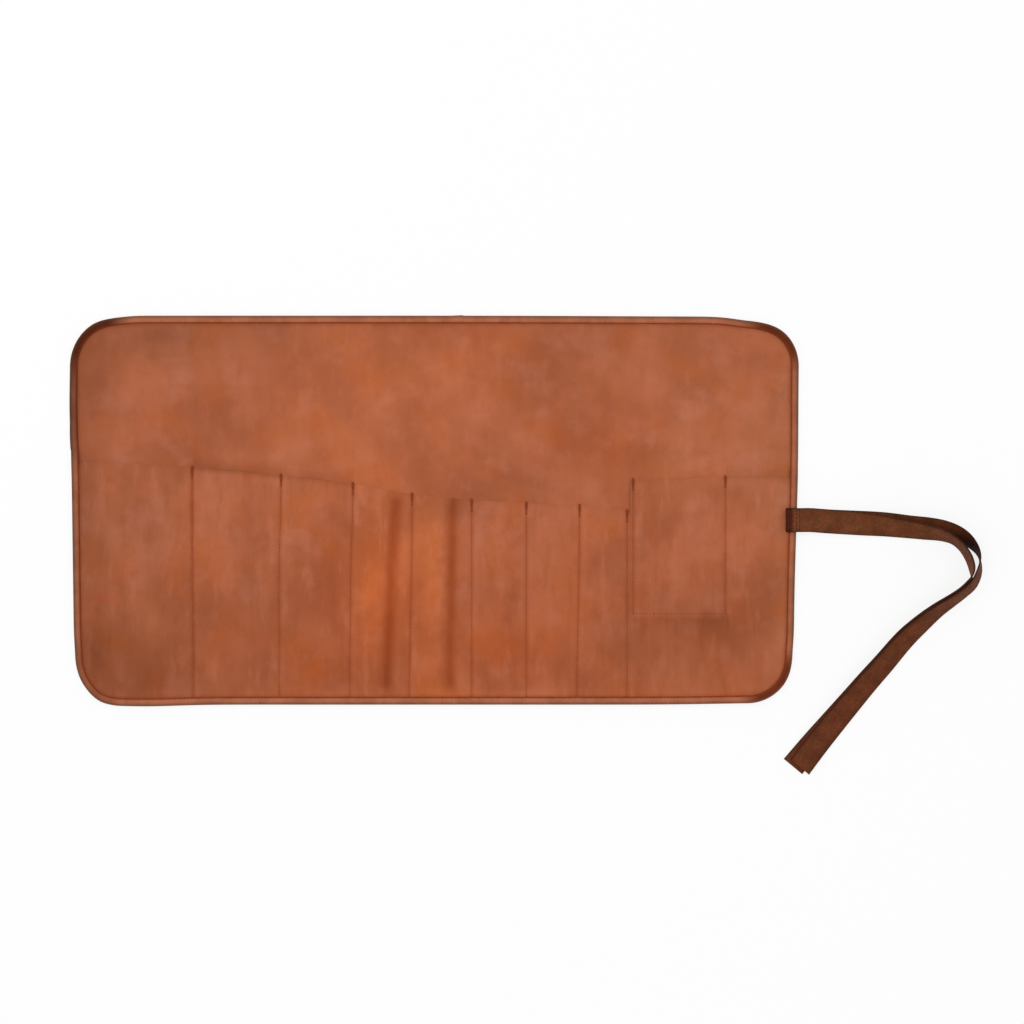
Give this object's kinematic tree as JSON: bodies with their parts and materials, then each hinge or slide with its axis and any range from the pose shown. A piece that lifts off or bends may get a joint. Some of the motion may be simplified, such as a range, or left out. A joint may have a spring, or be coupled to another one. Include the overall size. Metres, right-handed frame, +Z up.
{
  "type": "knife roll",
  "caption": "Leather knife roll laid open, with sewn pockets of several widths, a bound edge, round corners and a tie strap; rolls up along its pocket seams.",
  "frame": {"origin": "on the table under the middle of the open sheet", "axes": "+X along the sheet towards the tie strap, +Y towards the open upper edge, +Z up out of the pockets"},
  "size_m": [0.9101, 0.4593, 0.0266],
  "materials": {
    "back_leather": "semi-matte pull-up leather",
    "pocket_leather": "semi-matte pull-up leather",
    "binding_leather": "folded thin leather with a waxed edge",
    "strap_leather": "pebbled dark brown leather with dark painted edges"
  },
  "bodies": {
    "stretch_01": {"back_panel_01": "back_leather", "pocket_front_01": "pocket_leather", "binding_left_end": "binding_leather"},
    "stretch_02": {"back_panel_02": "back_leather", "pocket_front_02": "pocket_leather", "binding_top_02": "binding_leather", "binding_bottom_02": "binding_leather"},
    "stretch_03": {"back_panel_03": "back_leather", "pocket_front_03": "pocket_leather", "binding_top_03": "binding_leather", "binding_bottom_03": "binding_leather"},
    "stretch_04": {"back_panel_04": "back_leather", "pocket_front_04": "pocket_leather", "binding_top_04": "binding_leather", "binding_bottom_04": "binding_leather"},
    "stretch_05": {"back_panel_05": "back_leather", "pocket_front_05": "pocket_leather", "binding_top_05": "binding_leather", "binding_bottom_05": "binding_leather"},
    "stretch_06": {"back_panel_06": "back_leather", "pocket_front_06": "pocket_leather", "binding_top_06": "binding_leather", "binding_bottom_06": "binding_leather"},
    "stretch_07": {"back_panel_07": "back_leather", "pocket_front_07": "pocket_leather", "binding_top_07": "binding_leather", "binding_bottom_07": "binding_leather"},
    "stretch_08": {"back_panel_08": "back_leather", "pocket_front_08": "pocket_leather", "binding_top_08": "binding_leather", "binding_bottom_08": "binding_leather"},
    "stretch_09": {"back_panel_09": "back_leather", "pocket_front_09": "pocket_leather", "binding_top_09": "binding_leather", "binding_bottom_09": "binding_leather"},
    "stretch_10": {"back_panel_10": "back_leather", "pocket_front_10": "pocket_leather", "binding_top_10": "binding_leather", "binding_bottom_10": "binding_leather"},
    "stretch_11": {"back_panel_11": "back_leather", "tool_pocket_front_11": "pocket_leather", "binding_top_11": "binding_leather", "binding_bottom_11": "binding_leather"},
    "stretch_12": {"back_panel_12": "back_leather", "tool_pocket_front_12": "pocket_leather", "binding_top_12": "binding_leather", "binding_bottom_12": "binding_leather"},
    "stretch_13": {"back_panel_13": "back_leather", "end_pocket_front_13": "pocket_leather", "binding_right_end": "binding_leather", "tie_strap_fold": "strap_leather", "tie_tail_upper": "strap_leather", "tie_tail_lower": "strap_leather"}
  },
  "joints": [
    {"name": "bend_01", "type": "hinge", "parent": "stretch_02", "child": "stretch_01", "pos_m": [-0.30325, 0, 0.0101], "axis": [0, 1, 0], "range_deg": [0, 90]},
    {"name": "bend_02", "type": "hinge", "parent": "stretch_03", "child": "stretch_02", "pos_m": [-0.24225, 0, 0.006], "axis": [0, 1, 0], "range_deg": [0, 70]},
    {"name": "bend_03", "type": "hinge", "parent": "stretch_04", "child": "stretch_03", "pos_m": [-0.19775, 0, 0.0101], "axis": [0, 1, 0], "range_deg": [0, 54]},
    {"name": "bend_04", "type": "hinge", "parent": "stretch_05", "child": "stretch_04", "pos_m": [-0.15325, 0, 0.006], "axis": [0, 1, 0], "range_deg": [0, 66]},
    {"name": "bend_05", "type": "hinge", "parent": "stretch_06", "child": "stretch_05", "pos_m": [-0.08125, 0, 0.006], "axis": [0, 1, 0], "range_deg": [0, 69]},
    {"name": "bend_06", "type": "hinge", "parent": "stretch_07", "child": "stretch_06", "pos_m": [-0.02225, 0, 0.006], "axis": [0, 1, 0], "range_deg": [0, 59]},
    {"name": "bend_07", "type": "hinge", "parent": "stretch_08", "child": "stretch_07", "pos_m": [0.03725, 0, 0.006], "axis": [0, 1, 0], "range_deg": [0, 53]},
    {"name": "bend_08", "type": "hinge", "parent": "stretch_09", "child": "stretch_08", "pos_m": [0.09175, 0, 0.006], "axis": [0, 1, 0], "range_deg": [0, 48]},
    {"name": "bend_09", "type": "hinge", "parent": "stretch_10", "child": "stretch_09", "pos_m": [0.14525, 0, 0.006], "axis": [0, 1, 0], "range_deg": [0, 44]},
    {"name": "bend_10", "type": "hinge", "parent": "stretch_11", "child": "stretch_10", "pos_m": [0.19575, 0, 0.006], "axis": [0, 1, 0], "range_deg": [0, 40]},
    {"name": "bend_11", "type": "hinge", "parent": "stretch_12", "child": "stretch_11", "pos_m": [0.24325, 0, 0.0101], "axis": [0, 1, 0], "range_deg": [0, 38]},
    {"name": "bend_12", "type": "hinge", "parent": "stretch_13", "child": "stretch_12", "pos_m": [0.29075, 0, 0.006], "axis": [0, 1, 0], "range_deg": [0, 46]}
  ],
  "couplings": [
    {"joint": "bend_01", "follows": "bend_12", "ratio": 1.9565},
    {"joint": "bend_02", "follows": "bend_12", "ratio": 1.5217},
    {"joint": "bend_03", "follows": "bend_12", "ratio": 1.1739},
    {"joint": "bend_04", "follows": "bend_12", "ratio": 1.4347},
    {"joint": "bend_05", "follows": "bend_12", "ratio": 1.5},
    {"joint": "bend_06", "follows": "bend_12", "ratio": 1.2826},
    {"joint": "bend_07", "follows": "bend_12", "ratio": 1.1521},
    {"joint": "bend_08", "follows": "bend_12", "ratio": 1.0434},
    {"joint": "bend_09", "follows": "bend_12", "ratio": 0.9565},
    {"joint": "bend_10", "follows": "bend_12", "ratio": 0.8695},
    {"joint": "bend_11", "follows": "bend_12", "ratio": 0.826}
  ]
}
